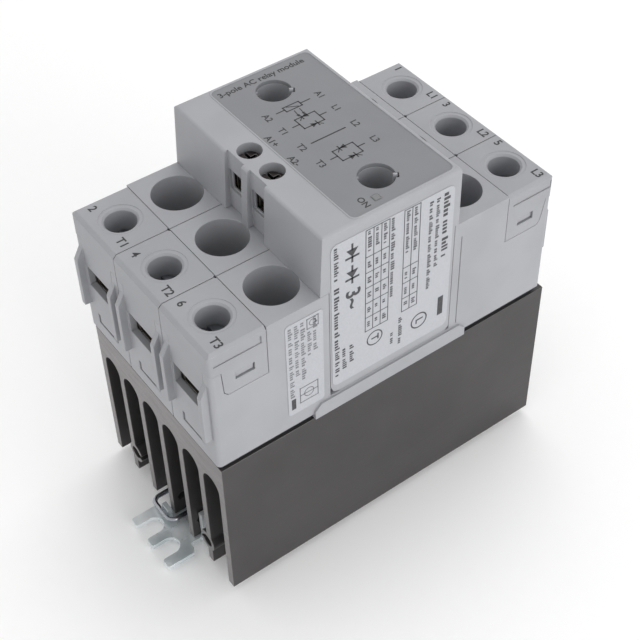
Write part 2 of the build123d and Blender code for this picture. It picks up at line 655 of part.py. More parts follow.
with BuildPart() as latch_spring:
    with BuildLine() as wire:
        FilletPolyline(
            (-5.0, -31.0, -1.0), (-5.0, -48.5, -1.0), (3.4, -48.5, -1.0), (3.4, -33.0, -1.0), radius=1.8
        )
    with BuildSketch(Plane(origin=wire.line @ 0, z_dir=wire.line % 0)):
        Circle(0.58)
    sweep(path=wire.line)
save(latch_spring, "latch_spring")
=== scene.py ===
"""Looks of a three-pole solid state relay on a finned heatsink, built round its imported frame.

The frame gives every mechanical piece in metres. This file dresses those pieces and adds what the
frame leaves out: the printed marks and wiring diagram, the print on the two labels and the raised
rim round the fascia.
"""
from __future__ import annotations

import logging
import math
from dataclasses import dataclass, field
from enum import Enum
from typing import Any, Sequence

import bpy
import numpy as np
from mathutils import Matrix, Vector


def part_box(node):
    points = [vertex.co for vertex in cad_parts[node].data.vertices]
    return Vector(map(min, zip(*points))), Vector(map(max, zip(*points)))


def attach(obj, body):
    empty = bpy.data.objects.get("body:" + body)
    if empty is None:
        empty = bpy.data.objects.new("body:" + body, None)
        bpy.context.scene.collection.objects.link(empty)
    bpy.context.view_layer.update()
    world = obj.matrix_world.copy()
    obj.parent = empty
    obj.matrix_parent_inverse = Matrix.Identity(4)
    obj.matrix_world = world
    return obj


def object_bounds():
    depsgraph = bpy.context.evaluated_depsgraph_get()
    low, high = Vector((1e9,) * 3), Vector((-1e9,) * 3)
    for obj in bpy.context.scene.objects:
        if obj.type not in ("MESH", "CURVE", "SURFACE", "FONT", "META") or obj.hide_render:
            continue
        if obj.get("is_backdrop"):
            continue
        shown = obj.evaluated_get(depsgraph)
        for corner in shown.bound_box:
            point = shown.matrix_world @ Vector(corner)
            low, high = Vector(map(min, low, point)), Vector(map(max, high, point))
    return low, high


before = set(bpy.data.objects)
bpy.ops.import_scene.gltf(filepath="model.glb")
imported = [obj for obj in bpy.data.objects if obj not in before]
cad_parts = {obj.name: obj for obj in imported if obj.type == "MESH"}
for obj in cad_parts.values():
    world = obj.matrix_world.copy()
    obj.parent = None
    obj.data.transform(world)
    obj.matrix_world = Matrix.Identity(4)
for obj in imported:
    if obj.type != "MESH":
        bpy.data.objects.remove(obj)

LOG = logging.getLogger("relay_looks")
MM = 0.001

MIX = "ShaderNodeMix"
SCALED = "ShaderNodeMapRange"
NOISE = "ShaderNodeTexNoise"
MATHS = "ShaderNodeMath"
MAPPING = "ShaderNodeMapping"
BUMP = "ShaderNodeBump"
# a mix of two colours has its factor at input 0 and the colours at 6 and 7
COLOURS: dict[str, Any] = {"out": 2, "data_type": "RGBA"}
# the parts of a noise's range that give broad patches and fine specks
PATCHY = (0.35, 0.65)
FINE = (0.3, 0.7)


# --------------------------------------------------------------------------- named choices
class End(Enum):
    """The two ends of the relay: load terminals T at -Y and line terminals L at +Y."""

    LOAD = "t"
    LINE = "l"


class Pole(Enum):
    """The three poles, counted from -X, with the x of each pole's centre in millimetres."""

    ONE = -18.0
    TWO = 0.0
    THREE = 18.0

    @property
    def number(self) -> int:
        """Pole number from 1 to 3."""
        return {"ONE": 1, "TWO": 2, "THREE": 3}[self.name]


# --------------------------------------------------------------------------- colour and nodes
def linear(hex_colour: str) -> tuple[float, float, float, float]:
    """Turn an sRGB hex colour into linear RGBA.

    Args:
        hex_colour: colour such as "#A8A9AD".

    Returns:
        Linear red, green, blue and an alpha of 1.
    """
    srgb = np.array([int(hex_colour[i:i + 2], 16) for i in (1, 3, 5)]) / 255.0
    value = np.where(srgb <= 0.04045, srgb / 12.92, ((srgb + 0.055) / 1.055) ** 2.4)
    return (float(value[0]), float(value[1]), float(value[2]), 1.0)


def set_inputs(tree: bpy.types.NodeTree, node: bpy.types.Node, inputs: dict[str | int, Any]) -> None:
    """Set a node's inputs.

    Args:
        tree: the node's tree.
        node: the node.
        inputs: socket name or index to a plain value, or to an output socket to link from.
    """
    for key, value in inputs.items():
        if isinstance(value, bpy.types.NodeSocket):
            tree.links.new(value, node.inputs[key])
        else:
            node.inputs[key].default_value = value


def add_node(
    tree: bpy.types.NodeTree, kind: str, inputs: dict[str | int, Any], out: str | int | None = None,
    **settings: Any,
) -> Any:
    """Add one shader node with its settings, values and links.

    Args:
        tree: node tree to add to.
        kind: Blender's name for the node type.
        inputs: as for set_inputs.
        out: name or index of the output socket that is wanted, if any.
        **settings: attributes of the node.

    Returns:
        The new node, or its output socket where one is named.
    """
    made = tree.nodes.new(kind)
    for key, value in settings.items():
        setattr(made, key, value)
    set_inputs(tree, made, inputs)
    return made if out is None else made.outputs[out]


def span(value: Any, low: float, high: float, to_low: float = 0.0, to_high: float = 1.0) -> dict:
    """Inputs of a range map that takes low to to_low and high to to_high."""
    return {"Value": value, "From Min": low, "From Max": high, "To Min": to_low, "To Max": to_high}


def per_mm(size_mm: float) -> float:
    """Texture scale that makes one cell of a pattern this many millimetres wide."""
    return 1.0 / (size_mm * MM)


def blank_material(name: str) -> tuple[bpy.types.Material, bpy.types.NodeTree, Any, Any]:
    """Start a material with only a surface shader, its output and texture coordinates.

    Args:
        name: name of the material.

    Returns:
        The material, its node tree, the shader node and the texture coordinate node.
    """
    material = bpy.data.materials.new(name)
    material.use_nodes = True
    tree = material.node_tree
    tree.nodes.clear()
    shader = add_node(tree, "ShaderNodeBsdfPrincipled", {})
    add_node(tree, "ShaderNodeOutputMaterial", {"Surface": shader.outputs["BSDF"]})
    coords = add_node(tree, "ShaderNodeTexCoord", {})
    return material, tree, shader, coords


def edge_mask(tree: bpy.types.NodeTree, radius_mm: float) -> tuple[Any, Any]:
    """Find outer and inner edges by comparing a rounded normal with the true one.

    Args:
        tree: node tree to add to.
        radius_mm: radius of the rounding.

    Returns:
        Mask socket (1 on an edge, 0 on a flat) and the rounded normal socket.
    """
    rounded = add_node(tree, "ShaderNodeBevel", {"Radius": radius_mm * MM}, 0, samples=6)
    true = add_node(tree, "ShaderNodeNewGeometry", {}, "Normal")
    dot = add_node(tree, "ShaderNodeVectorMath", {0: rounded, 1: true}, "Value", operation="DOT_PRODUCT")
    return add_node(tree, SCALED, span(dot, 1.0, 0.82), 0), rounded


# --------------------------------------------------------------------------- finishes
@dataclass(frozen=True)
class MouldedPlastic:
    """Glass-filled thermoplastic moulded in a spark-eroded tool: fine even grain, soft grey sheen."""

    name: str
    colour: str
    shade: str
    roughness: float = 0.5
    grain_mm: float = 0.22
    grain_height_mm: float = 0.006
    drift_mm: float = 14.0
    edge_mm: float = 0.28
    # painted highlight on the edges: how far every edge is mixed towards the paler colour below
    edge_lift: float = 0.35
    light_edge: str = "#C4C5C8"
    specular: float = 0.5
    ior: float = 1.55

    def material(self) -> bpy.types.Material:
        """Build the material: slow colour drift, eroded grain, rounded edges with a painted highlight."""
        made, tree, shader, coords = blank_material(self.name)
        where = coords.outputs["Object"]
        drift = add_node(tree, NOISE, {"Vector": where, "Scale": per_mm(self.drift_mm), "Detail": 3.0}, 0)
        # the tool's real grain is about 0.05 mm, drawn coarser so that it shows
        grain = add_node(tree, NOISE, {"Vector": where, "Scale": per_mm(self.grain_mm), "Detail": 2.0}, 0)
        edge, rounded = edge_mask(tree, self.edge_mm)
        patches = add_node(tree, SCALED, span(drift, *PATCHY), 0)
        flat = add_node(tree, MIX, {0: patches, 6: linear(self.shade), 7: linear(self.colour)}, **COLOURS)
        # painted highlight: the edge mask mixes every edge towards a paler colour, standing in for light
        # caught there
        lift = add_node(tree, MATHS, {0: edge, 1: self.edge_lift}, 0, operation="MULTIPLY")
        set_inputs(tree, shader, {
            "Base Color": add_node(tree, MIX, {0: lift, 6: flat, 7: linear(self.light_edge)}, **COLOURS),
            "Normal": add_node(tree, BUMP, {
                "Strength": 0.35, "Distance": self.grain_height_mm * MM, "Height": grain, "Normal": rounded,
            }, 0),
            "Roughness": add_node(
                tree, SCALED, span(grain, *FINE, self.roughness - 0.04, self.roughness + 0.07), 0
            ),
            "IOR": self.ior,
            "Specular IOR Level": self.specular,
        })
        return made


@dataclass(frozen=True)
class ExtrudedAluminium:
    """Extruded aluminium with a dark passivated skin: fine die lines along Y, paler sawn ends."""

    name: str
    skin: str
    skin_shade: str
    sawn: str
    sawn_shade: str
    die_line: str = "#5E5B5B"
    # paler colour of the painted edge highlight
    bare: str = "#8F8D8D"
    die_line_mm: float = 0.35
    die_run_mm: float = 60.0
    saw_line_mm: float = 0.5
    saw_run_mm: float = 9.0
    saw_tilt: float = 4.0
    cloud_mm: float = 22.0
    edge_mm: float = 0.3
    # share of the painted edge highlight on every edge
    edge_wear: float = 0.45
    metallic: float = 0.5
    roughness: tuple[float, float] = (0.4, 0.52)

    def material(self) -> bpy.types.Material:
        """Build the material: skin and sawn faces told apart by the object's own normal."""
        made, tree, shader, coords = blank_material(self.name)
        where = coords.outputs["Object"]
        line, run, saw_run = per_mm(self.die_line_mm), per_mm(self.die_run_mm), per_mm(self.saw_run_mm)
        drawn = add_node(tree, MAPPING, {"Vector": where, "Scale": (line, run, line)}, 0)
        lines = add_node(tree, NOISE, {"Vector": drawn, "Scale": 1.0, "Detail": 3.0}, 0)
        cloud = add_node(tree, NOISE, {"Vector": where, "Scale": per_mm(self.cloud_mm), "Detail": 4.0}, 0)
        cut = add_node(tree, MAPPING, {
            "Vector": where, "Scale": (saw_run, saw_run, per_mm(self.saw_line_mm)),
            "Rotation": (0.0, math.radians(self.saw_tilt), 0.0),
        }, 0)
        saw = add_node(tree, NOISE, {"Vector": cut, "Scale": 1.0, "Detail": 2.0}, 0)
        facing = add_node(tree, "ShaderNodeSeparateXYZ", {0: coords.outputs["Normal"]}, "Y")
        along = add_node(tree, MATHS, {0: facing}, 0, operation="ABSOLUTE")
        is_end = add_node(tree, SCALED, span(along, 0.85, 0.97), 0)
        edge, rounded = edge_mask(tree, self.edge_mm)
        patches = add_node(tree, SCALED, span(cloud, *PATCHY), 0)
        skin = add_node(
            tree, MIX, {0: patches, 6: linear(self.skin_shade), 7: linear(self.skin)}, **COLOURS
        )
        fine = add_node(tree, SCALED, span(lines, *FINE, 0.0, 0.22), 0)
        skin = add_node(tree, MIX, {0: fine, 6: skin, 7: linear(self.die_line)}, **COLOURS)
        strokes = add_node(tree, SCALED, span(saw, *FINE), 0)
        ends = add_node(
            tree, MIX, {0: strokes, 6: linear(self.sawn_shade), 7: linear(self.sawn)}, **COLOURS
        )
        flat = add_node(tree, MIX, {0: is_end, 6: skin, 7: ends}, **COLOURS)
        # painted highlight: every edge is mixed towards a paler colour, standing in for light caught there
        edge_highlight_mix = add_node(tree, MATHS, {0: edge, 1: self.edge_wear}, 0, operation="MULTIPLY")
        height = add_node(tree, MIX, {0: is_end, 2: lines, 3: saw}, 0, data_type="FLOAT")
        set_inputs(tree, shader, {
            "Base Color": add_node(tree, MIX, {0: edge_highlight_mix, 6: flat, 7: linear(self.bare)}, **COLOURS),
            "Normal": add_node(
                tree, BUMP, {"Strength": 0.3, "Distance": 0.012 * MM, "Height": height, "Normal": rounded}, 0
            ),
            "Roughness": add_node(tree, SCALED, span(lines, *FINE, *self.roughness), 0),
            "Metallic": self.metallic,
        })
        return made


@dataclass(frozen=True)
class PlatedMetal:
    """Thin bright plate on pressed or turned metal: clouded reflections and paler edges, a painted
    highlight.
    """

    name: str
    colour: str
    tint: str
    roughness: float = 0.28
    cloud_mm: float = 2.5
    brush_mm: float = 0.12
    brush_run_mm: float = 6.0
    metallic: float = 1.0
    # paler colour of the painted edge highlight
    bare: str = "#F2F3F5"
    edge_mm: float = 0.18
    # share of the painted edge highlight on every edge
    edge_wear: float = 0.4

    def material(self) -> bpy.types.Material:
        """Build the material: plate colour drifting to its passivation tint, fine rolling marks."""
        made, tree, shader, coords = blank_material(self.name)
        where = coords.outputs["Object"]
        cloud = add_node(tree, NOISE, {"Vector": where, "Scale": per_mm(self.cloud_mm), "Detail": 4.0}, 0)
        line, run = per_mm(self.brush_mm), per_mm(self.brush_run_mm)
        rolled = add_node(tree, MAPPING, {"Vector": where, "Scale": (line, run, line)}, 0)
        brush = add_node(tree, NOISE, {"Vector": rolled, "Scale": 1.0, "Detail": 2.0}, 0)
        edge, rounded = edge_mask(tree, self.edge_mm)
        patches = add_node(tree, SCALED, span(cloud, *PATCHY), 0)
        plate = add_node(tree, MIX, {0: patches, 6: linear(self.tint), 7: linear(self.colour)}, **COLOURS)
        # painted highlight: every edge is mixed towards a paler colour, standing in for light caught there
        edge_highlight_mix = add_node(tree, SCALED, span(edge, 0.0, 1.0, 0.0, self.edge_wear), 0)
        set_inputs(tree, shader, {
            "Base Color": add_node(tree, MIX, {0: edge_highlight_mix, 6: plate, 7: linear(self.bare)}, **COLOURS),
            "Normal": add_node(
                tree, BUMP, {"Strength": 0.2, "Distance": 0.01 * MM, "Height": brush, "Normal": rounded}, 0
            ),
            "Roughness": add_node(
                tree, SCALED, span(cloud, *FINE, self.roughness - 0.06, self.roughness + 0.1), 0
            ),
            "Metallic": self.metallic,
        })
        return made


@dataclass(frozen=True)
class PrintedFilm:
    """Silver polyester film: a faint metallic grain and a soft gloss coat."""

    name: str
    colour: str
    shade: str
    roughness: float = 0.34
    grain_mm: float = 0.3
    wave_mm: float = 11.0
    coat: float = 0.15
    coat_roughness: float = 0.25
    ior: float = 1.5

    def material(self) -> bpy.types.Material:
        """Build the material: fine grain in colour and roughness under a thin clear coat."""
        made, tree, shader, coords = blank_material(self.name)
        where = coords.outputs["Object"]
        grain = add_node(tree, NOISE, {"Vector": where, "Scale": per_mm(self.grain_mm), "Detail": 3.0}, 0)
        wave = add_node(tree, NOISE, {"Vector": where, "Scale": per_mm(self.wave_mm), "Detail": 2.0}, 0)
        specks = add_node(tree, SCALED, span(grain, *FINE), 0)
        set_inputs(tree, shader, {
            "Base Color": add_node(
                tree, MIX, {0: specks, 6: linear(self.shade), 7: linear(self.colour)}, **COLOURS
            ),
            "Normal": add_node(tree, BUMP, {"Strength": 0.15, "Distance": 0.05 * MM, "Height": wave}, 0),
            "Roughness": add_node(
                tree, SCALED, span(grain, *FINE, self.roughness - 0.05, self.roughness + 0.05), 0
            ),
            "Coat Weight": self.coat,
            "Coat Roughness": self.coat_roughness,
            "IOR": self.ior,
        })
        return made


@dataclass(frozen=True)
class PadInk:
    """Pad-printed or thermal-transfer ink: near black, slightly uneven cover."""

    name: str
    colour: str
    thin: str
    blotch_mm: float = 0.5
    roughness: tuple[float, float] = (0.45, 0.62)

    def material(self) -> bpy.types.Material:
        """Build the material: ink that thins in small blotches."""
        made, tree, shader, coords = blank_material(self.name)
        where = coords.outputs["Object"]
        blotch = add_node(tree, NOISE, {"Vector": where, "Scale": per_mm(self.blotch_mm), "Detail": 3.0}, 0)
        cover = add_node(tree, SCALED, span(blotch, 0.35, 0.7), 0)
        set_inputs(tree, shader, {
            "Base Color": add_node(
                tree, MIX, {0: cover, 6: linear(self.colour), 7: linear(self.thin)}, **COLOURS
            ),
            "Roughness": add_node(tree, SCALED, span(blotch, *FINE, *self.roughness), 0),
        })
        return made


@dataclass(frozen=True)
class CircuitBoard:
    """Solder mask over glass-epoxy: dark green with the weave and copper pour showing through."""

    name: str
    mask: str
    copper_shadow: str
    weave_mm: float = 0.6
    pour_mm: float = 4.0
    roughness: float = 0.3

    def material(self) -> bpy.types.Material:
        """Build the material: cell-shaped copper areas under the mask and a fine weave."""
        made, tree, shader, coords = blank_material(self.name)
        where = coords.outputs["Object"]
        pour = add_node(
            tree, "ShaderNodeTexVoronoi", {"Vector": where, "Scale": per_mm(self.pour_mm)}, "Distance",
            distance="CHEBYCHEV",
        )
        weave = add_node(
            tree, "ShaderNodeTexWave", {"Vector": where, "Scale": per_mm(self.weave_mm) / 6.28}, 0
        )
        step = add_node(tree, SCALED, span(pour, 0.32, 0.36), 0)
        set_inputs(tree, shader, {
            "Base Color": add_node(
                tree, MIX, {0: step, 6: linear(self.mask), 7: linear(self.copper_shadow)}, **COLOURS
            ),
            "Normal": add_node(tree, BUMP, {"Strength": 0.2, "Distance": 0.01 * MM, "Height": weave}, 0),
            "Roughness": self.roughness,
        })
        return made


@dataclass(frozen=True)
class FrostedLens:
    """Clear polycarbonate light guide with a frosted face: translucent, smoky when unlit."""

    name: str
    colour: str
    pale: str = "#97999A"
    frost_mm: float = 0.2
    roughness: tuple[float, float] = (0.3, 0.5)
    transmission: float = 0.35
    ior: float = 1.58

    def material(self) -> bpy.types.Material:
        """Build the material: half-transmitting body with a fine frost."""
        made, tree, shader, coords = blank_material(self.name)
        where = coords.outputs["Object"]
        frost = add_node(tree, NOISE, {"Vector": where, "Scale": per_mm(self.frost_mm), "Detail": 2.0}, 0)
        set_inputs(tree, shader, {
            "Base Color": add_node(
                tree, MIX, {0: frost, 6: linear(self.colour), 7: linear(self.pale)}, **COLOURS
            ),
            "Roughness": add_node(tree, SCALED, span(frost, *FINE, *self.roughness), 0),
            "Transmission Weight": self.transmission,
            "IOR": self.ior,
        })
        return made


class Finishes:
    """Every finish of the relay, made once."""

    def __init__(self) -> None:
        """Build all materials."""
        self.housing = MouldedPlastic("light_grey_polyamide_moulded", "#A1A2A6", "#9B9CA0").material()
        self.cap = MouldedPlastic("light_grey_polyamide_cap_moulded", "#9E9FA3", "#98999D").material()
        self.fascia = MouldedPlastic(
            "mid_grey_polycarbonate_fascia", "#858689", "#818286", roughness=0.58, edge_lift=0.2,
            light_edge="#98999C", specular=0.3,
        ).material()
        self.black = MouldedPlastic(
            "black_polyamide_moulded", "#1B1B1C", "#151516", edge_lift=0.15, light_edge="#3A3A3B"
        ).material()
        self.heatsink = ExtrudedAluminium(
            "passivated_aluminium_extruded", "#494747", "#413F3F", "#8E8B8B", "#7B7878"
        ).material()
        self.zinc = PlatedMetal(
            "zinc_plated_steel_pressed", "#F0F4F6", "#C9D3D6", roughness=0.25, cloud_mm=8.0, metallic=0.45
        ).material()
        self.screw = PlatedMetal("zinc_plated_steel_turned", "#9EA1A6", "#84888E", roughness=0.34).material()
        self.dark_screw = PlatedMetal(
            "phosphated_steel_turned", "#4A4443", "#363231", roughness=0.42
        ).material()
        self.cage = PlatedMetal("tinned_brass_stamped", "#8E8577", "#7A7163", roughness=0.38).material()
        self.spring = PlatedMetal(
            "spring_steel_drawn", "#B4B7BC", "#9C9FA6", roughness=0.22, brush_mm=0.3
        ).material()
        self.copper = PlatedMetal("copper_bar_rolled", "#B87850", "#A0653F", roughness=0.35).material()
        self.label = PrintedFilm("silver_polyester_label", "#B4B6BB", "#AAACB1").material()
        self.ink = PadInk("black_pad_ink", "#29292B", "#38383A").material()
        self.label_ink = PadInk("black_transfer_ink", "#2E2E31", "#4A4A4D").material()
        self.faint_ink = PadInk("grey_transfer_ink", "#6E6F73", "#808185").material()
        self.board = CircuitBoard("green_solder_mask", "#124A24", "#1D5F30").material()
        self.epoxy = MouldedPlastic(
            "black_moulding_epoxy", "#202022", "#19191B", roughness=0.4, edge_lift=0.1, light_edge="#3A3A3C"
        ).material()
        self.blue_dip = MouldedPlastic(
            "blue_dipped_epoxy", "#1F3E86", "#1A3575", roughness=0.3, edge_lift=0.1, light_edge="#3A5AA2"
        ).material()
        self.ceramic = MouldedPlastic(
            "alumina_pressed", "#E6E4DE", "#DAD8D2", roughness=0.4, edge_lift=0.1, light_edge="#F2F0EA"
        ).material()
        self.pad = MouldedPlastic(
            "filled_silicone_pad", "#B9BBC2", "#AEB0B7", roughness=0.7, edge_lift=0.0
        ).material()
        self.lens = FrostedLens("frosted_polycarbonate_lens", "#8A8D8E").material()


def dress(plan: dict[str, bpy.types.Material]) -> list[str]:
    """Give frame nodes their finishes.

    Args:
        plan: node name to finish.

    Returns:
        Names of the nodes dressed.
    """
    for node, finish in plan.items():
        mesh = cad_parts[node].data
        mesh.materials.clear()
        mesh.materials.append(finish)
    return list(plan)


# --------------------------------------------------------------------------- surfaces
def new_object(
    name: str, mesh: bpy.types.Mesh, material: bpy.types.Material, body: str
) -> bpy.types.Object:
    """Put a finished mesh in the scene, dressed and riding on its body.

    Args:
        name: name of the piece.
        mesh: the piece's mesh, in place.
        material: its finish.
        body: the moving body it rides on.

    Returns:
        The new object.
    """
    made = bpy.data.objects.new(name, mesh)
    bpy.context.scene.collection.objects.link(made)
    mesh.materials.clear()
    mesh.materials.append(material)
    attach(made, body)
    return made


def grid_mesh(name: str, points: np.ndarray, wrap_u: bool, wrap_v: bool) -> bpy.types.Mesh:
    """Make a quad mesh from a grid of points.

    Each cell (i, j) joins points (i, j), (i+1, j), (i+1, j+1) and (i, j+1); a wrapped direction joins
    its last row to its first.

    Args:
        name: mesh name.
        points: array of shape (nu, nv, 3) in metres.
        wrap_u: whether the first direction closes on itself.
        wrap_v: whether the second direction closes on itself.

    Returns:
        The mesh.
    """
    count_u, count_v = points.shape[:2]
    i = np.arange(count_u if wrap_u else count_u - 1)[:, None]
    j = np.arange(count_v if wrap_v else count_v - 1)[None, :]
    i2, j2 = (i + 1) % count_u, (j + 1) % count_v
    corners = (i * count_v + j, i2 * count_v + j, i2 * count_v + j2, i * count_v + j2)
    quads = np.stack(np.broadcast_arrays(*corners), -1)
    mesh = bpy.data.meshes.new(name)
    mesh.from_pydata(points.reshape(-1, 3), [], quads.reshape(-1, 4).tolist())
    mesh.polygons.foreach_set("use_smooth", np.ones(len(mesh.polygons), bool))
    mesh.update()
    return mesh


@dataclass(frozen=True)
class PrintPlane:
    """A flat face that takes print: an origin, the direction of reading and the direction of tall."""

    origin: tuple[float, float, float]
    right: tuple[float, float, float]
    up: tuple[float, float, float]
    thickness: float = 0.02

    def axes(self) -> tuple[np.ndarray, np.ndarray, np.ndarray, np.ndarray]:
        """Origin in metres, then the unit right, up and outward directions."""
        right, up = np.array(self.right, float), np.array(self.up, float)
        return np.array(self.origin) * MM, right, up, np.cross(right, up)

    def matrix(self, u: float, v: float, lift: float = 0.0) -> Matrix:
        """Placement of print at (u, v) millimetres on the plane."""
        origin, right, up, out = self.axes()
        place = origin + (u * right + v * up + lift * out) * MM
        columns = np.stack([right, up, out, place], axis=1)
        return Matrix(columns.tolist() + [[0.0, 0.0, 0.0, 1.0]])


class Printer:
    """Prints strokes, bars, rings and words on a plane as thin raised ink."""

    def __init__(self, plane: PrintPlane) -> None:
        """Start with nothing printed.

        Args:
            plane: the face that takes the print.
        """
        self.plane = plane
        self.loops: list[np.ndarray] = []
        self.words: list[tuple[str, float, float, float, float]] = []

    def stroke(self, points: Sequence[tuple[float, float]], width: float) -> None:
        """Print a straight-sided line through (u, v) points, each run a four-cornered patch.

        Args:
            points: places in millimetres.
            width: width of the line in millimetres.
        """
        path = np.array(points, float)
        start, stop = path[:-1], path[1:]
        along = (stop - start) / np.linalg.norm(stop - start, axis=1, keepdims=True)
        side = np.stack([-along[:, 1], along[:, 0]], 1) * width / 2
        tail, head = start - along * width / 2, stop + along * width / 2
        self.loops.extend(np.stack([tail - side, head - side, head + side, tail + side], 1))

    def bar(self, u: float, v: float, length: float, height: float) -> None:
        """Print a solid bar that starts at u and is centred on v."""
        low, high = v - height / 2, v + height / 2
        self.loops.append(np.array([(u, low), (u + length, low), (u + length, high), (u, high)]))

    def polygon(self, points: Sequence[tuple[float, float]]) -> None:
        """Print a filled outline given anticlockwise."""
        self.loops.append(np.array(points, float))

    def ring(self, u: float, v: float, radius: float, width: float, steps: int = 40) -> None:
        """Print a circle line: patches between two radii at equal angles."""
        turn = np.linspace(0, 2 * math.pi, steps + 1)
        unit = np.stack([np.cos(turn), np.sin(turn)], 1)
        inner = np.array([u, v]) + unit * (radius - width / 2)
        outer = np.array([u, v]) + unit * (radius + width / 2)
        self.loops.extend(np.stack([inner[:-1], outer[:-1], outer[1:], inner[1:]], 1))

    def word(self, text: str, u: float, v: float, height: float, weight: float = 0.0) -> None:
        """Print a word centred on (u, v) with this capital height in millimetres."""
        self.words.append((text, u, v, height, weight))

    def _patches(self) -> tuple[np.ndarray, list[list[int]]]:
        """Vertices and faces of all patches, three- and four-cornered ones in turn.

        Each patch is a shallow prism of ink: its outline p on the plane, and again at p + out * thickness.
        """
        origin, right, up, out = self.plane.axes()
        verts: list[np.ndarray] = [np.zeros((0, 3))]
        faces: list[list[int]] = []
        base = 0
        for count in (3, 4):
            loops = np.array([loop for loop in self.loops if len(loop) == count]).reshape(-1, count, 2)
            flat = origin + (loops[..., :1] * right + loops[..., 1:] * up) * MM
            prisms = np.concatenate([flat, flat + out * self.plane.thickness * MM], axis=1)
            first = base + 2 * count * np.arange(len(loops))[:, None]
            ring = np.arange(count)
            after = (ring + 1) % count
            sides = np.stack([ring, after, count + after, count + ring], 1)
            faces += (first + count + ring).tolist() + (first + ring[::-1]).tolist()
            faces += (first[:, :, None] + sides).reshape(-1, 4).tolist()
            verts.append(prisms.reshape(-1, 3))
            base += 2 * count * len(loops)
        return np.concatenate(verts), faces

    def _word_mesh(self, text: str, u: float, v: float, height: float, weight: float) -> bpy.types.Mesh:
        """One word as a placed mesh, with its width and height centred on (u, v)."""
        curve = bpy.data.curves.new("word", "FONT")
        curve.body = text
        curve.size = height * MM / 0.70
        curve.align_x, curve.align_y = "CENTER", "CENTER"
        curve.offset = weight * MM
        curve.resolution_u = 3
        curve.extrude = self.plane.thickness * MM / 2
        holder = bpy.data.objects.new("word", curve)
        bpy.context.scene.collection.objects.link(holder)
        graph = bpy.context.evaluated_depsgraph_get()
        mesh = bpy.data.meshes.new_from_object(holder.evaluated_get(graph))
        bpy.data.objects.remove(holder)
        mesh.transform(self.plane.matrix(u, v, self.plane.thickness / 2))
        return mesh

    def finish(self, name: str, material: bpy.types.Material, body: str, slot: str) -> bpy.types.Object:
        """Join everything printed into one piece.

        Args:
            name: name of the piece.
            material: the ink.
            body: the body it rides on.
            slot: not used.

        Returns:
            The printed piece.
        """
        verts, faces = self._patches()
        lists = [verts]
        base = len(verts)
        for entry in self.words:
            part = self._word_mesh(*entry)
            co = np.empty(len(part.vertices) * 3)
            part.vertices.foreach_get("co", co)
            lists.append(co.reshape(-1, 3))
            faces.extend([[base + k for k in poly.vertices] for poly in part.polygons])
            base += len(part.vertices)
            bpy.data.meshes.remove(part)
        mesh = bpy.data.meshes.new(name)
        mesh.from_pydata(np.concatenate(lists), [], faces)
        mesh.update()
        return new_object(name, mesh, material, body)


# --------------------------------------------------------------------------- sub-assemblies
@dataclass
class Heatsink:
    """Extruded heatsink, the black frame over it and the sprung rail latch."""

    finishes: Finishes

    def dress(self) -> list[str]:
        """Dress the heatsink and latch nodes and return their names."""
        return dress({
            "heatsink": self.finishes.heatsink, "module_frame": self.finishes.black,
            "rail_latch": self.finishes.zinc, "latch_pins": self.finishes.screw,
            "latch_spring": self.finishes.spring,
        })


@dataclass
class PowerStage:
    """Pads, ceramic plates, dies, cases, link bar and gate pins under the housing."""

    finishes: Finishes
    switched: tuple[Pole, Pole] = (Pole.ONE, Pole.THREE)

    def dress(self) -> list[str]:
        """Dress the power stage's nodes and return their names."""
        plan = {
            "link_insulator": self.finishes.black, "link_busbar_2": self.finishes.copper,
            "gate_pins": self.finishes.cage, "housing_screws": self.finishes.screw,
        }
        for pole in self.switched:
            plan[f"thermal_pad_{pole.number}"] = self.finishes.pad
            plan[f"ceramic_substrate_{pole.number}"] = self.finishes.ceramic
            plan[f"thyristors_{pole.number}"] = self.finishes.epoxy
            plan[f"module_case_{pole.number}"] = self.finishes.black
        return dress(plan)


@dataclass
class TerminalBank:
    """One pole's terminal at one end: cage, pressure plate, screw, cap and its printed numbers."""

    finishes: Finishes
    end: End
    pole: Pole
    mark_height: float = 1.95
    mark_weight: float = 0.055
    row_in: tuple[float, float] = (4.0, 2.5)
    number_u: float = -6.6
    name_u: float = 6.65
    name_v: float = -0.35

    def label(self) -> str:
        """Short name used by the nodes, such as t1."""
        return f"{self.end.value}{self.pole.number}"

    def dress(self) -> list[str]:
        """Dress the terminal's nodes and return their names."""
        return dress({
            f"terminal_cage_{self.label()}": self.finishes.cage,
            f"clamp_plate_{self.label()}": self.finishes.screw,
            f"power_screw_{self.label()}": self.finishes.screw,
            f"terminal_cap_{self.label()}": self.finishes.cap,
        })

    def build_marks(self) -> bpy.types.Object:
        """Print the terminal's number and name on its cap, beside the screw hole."""
        low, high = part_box(f"terminal_cap_{self.label()}")
        number = 2 * self.pole.number - (0 if self.end is End.LOAD else 1)
        row = low[1] / MM + self.row_in[0] if self.end is End.LOAD else high[1] / MM - self.row_in[1]
        plane = PrintPlane((self.pole.value, row, high[2] / MM), (1, 0, 0), (0, 1, 0))
        printer = Printer(plane)
        name = f"{self.end.value.upper()}{self.pole.number}"
        printer.word(str(number), self.number_u, 0.0, self.mark_height, self.mark_weight)
        printer.word(name, self.name_u, self.name_v, self.mark_height, self.mark_weight)
        return printer.finish(f"marks_{self.label()}", self.finishes.ink, "root", "housing_plastic")

    def build(self) -> list[str]:
        """Dress the nodes and add the marks.

        Returns:
            Names of the pieces made or dressed.
        """
        return self.dress() + [self.build_marks().name]


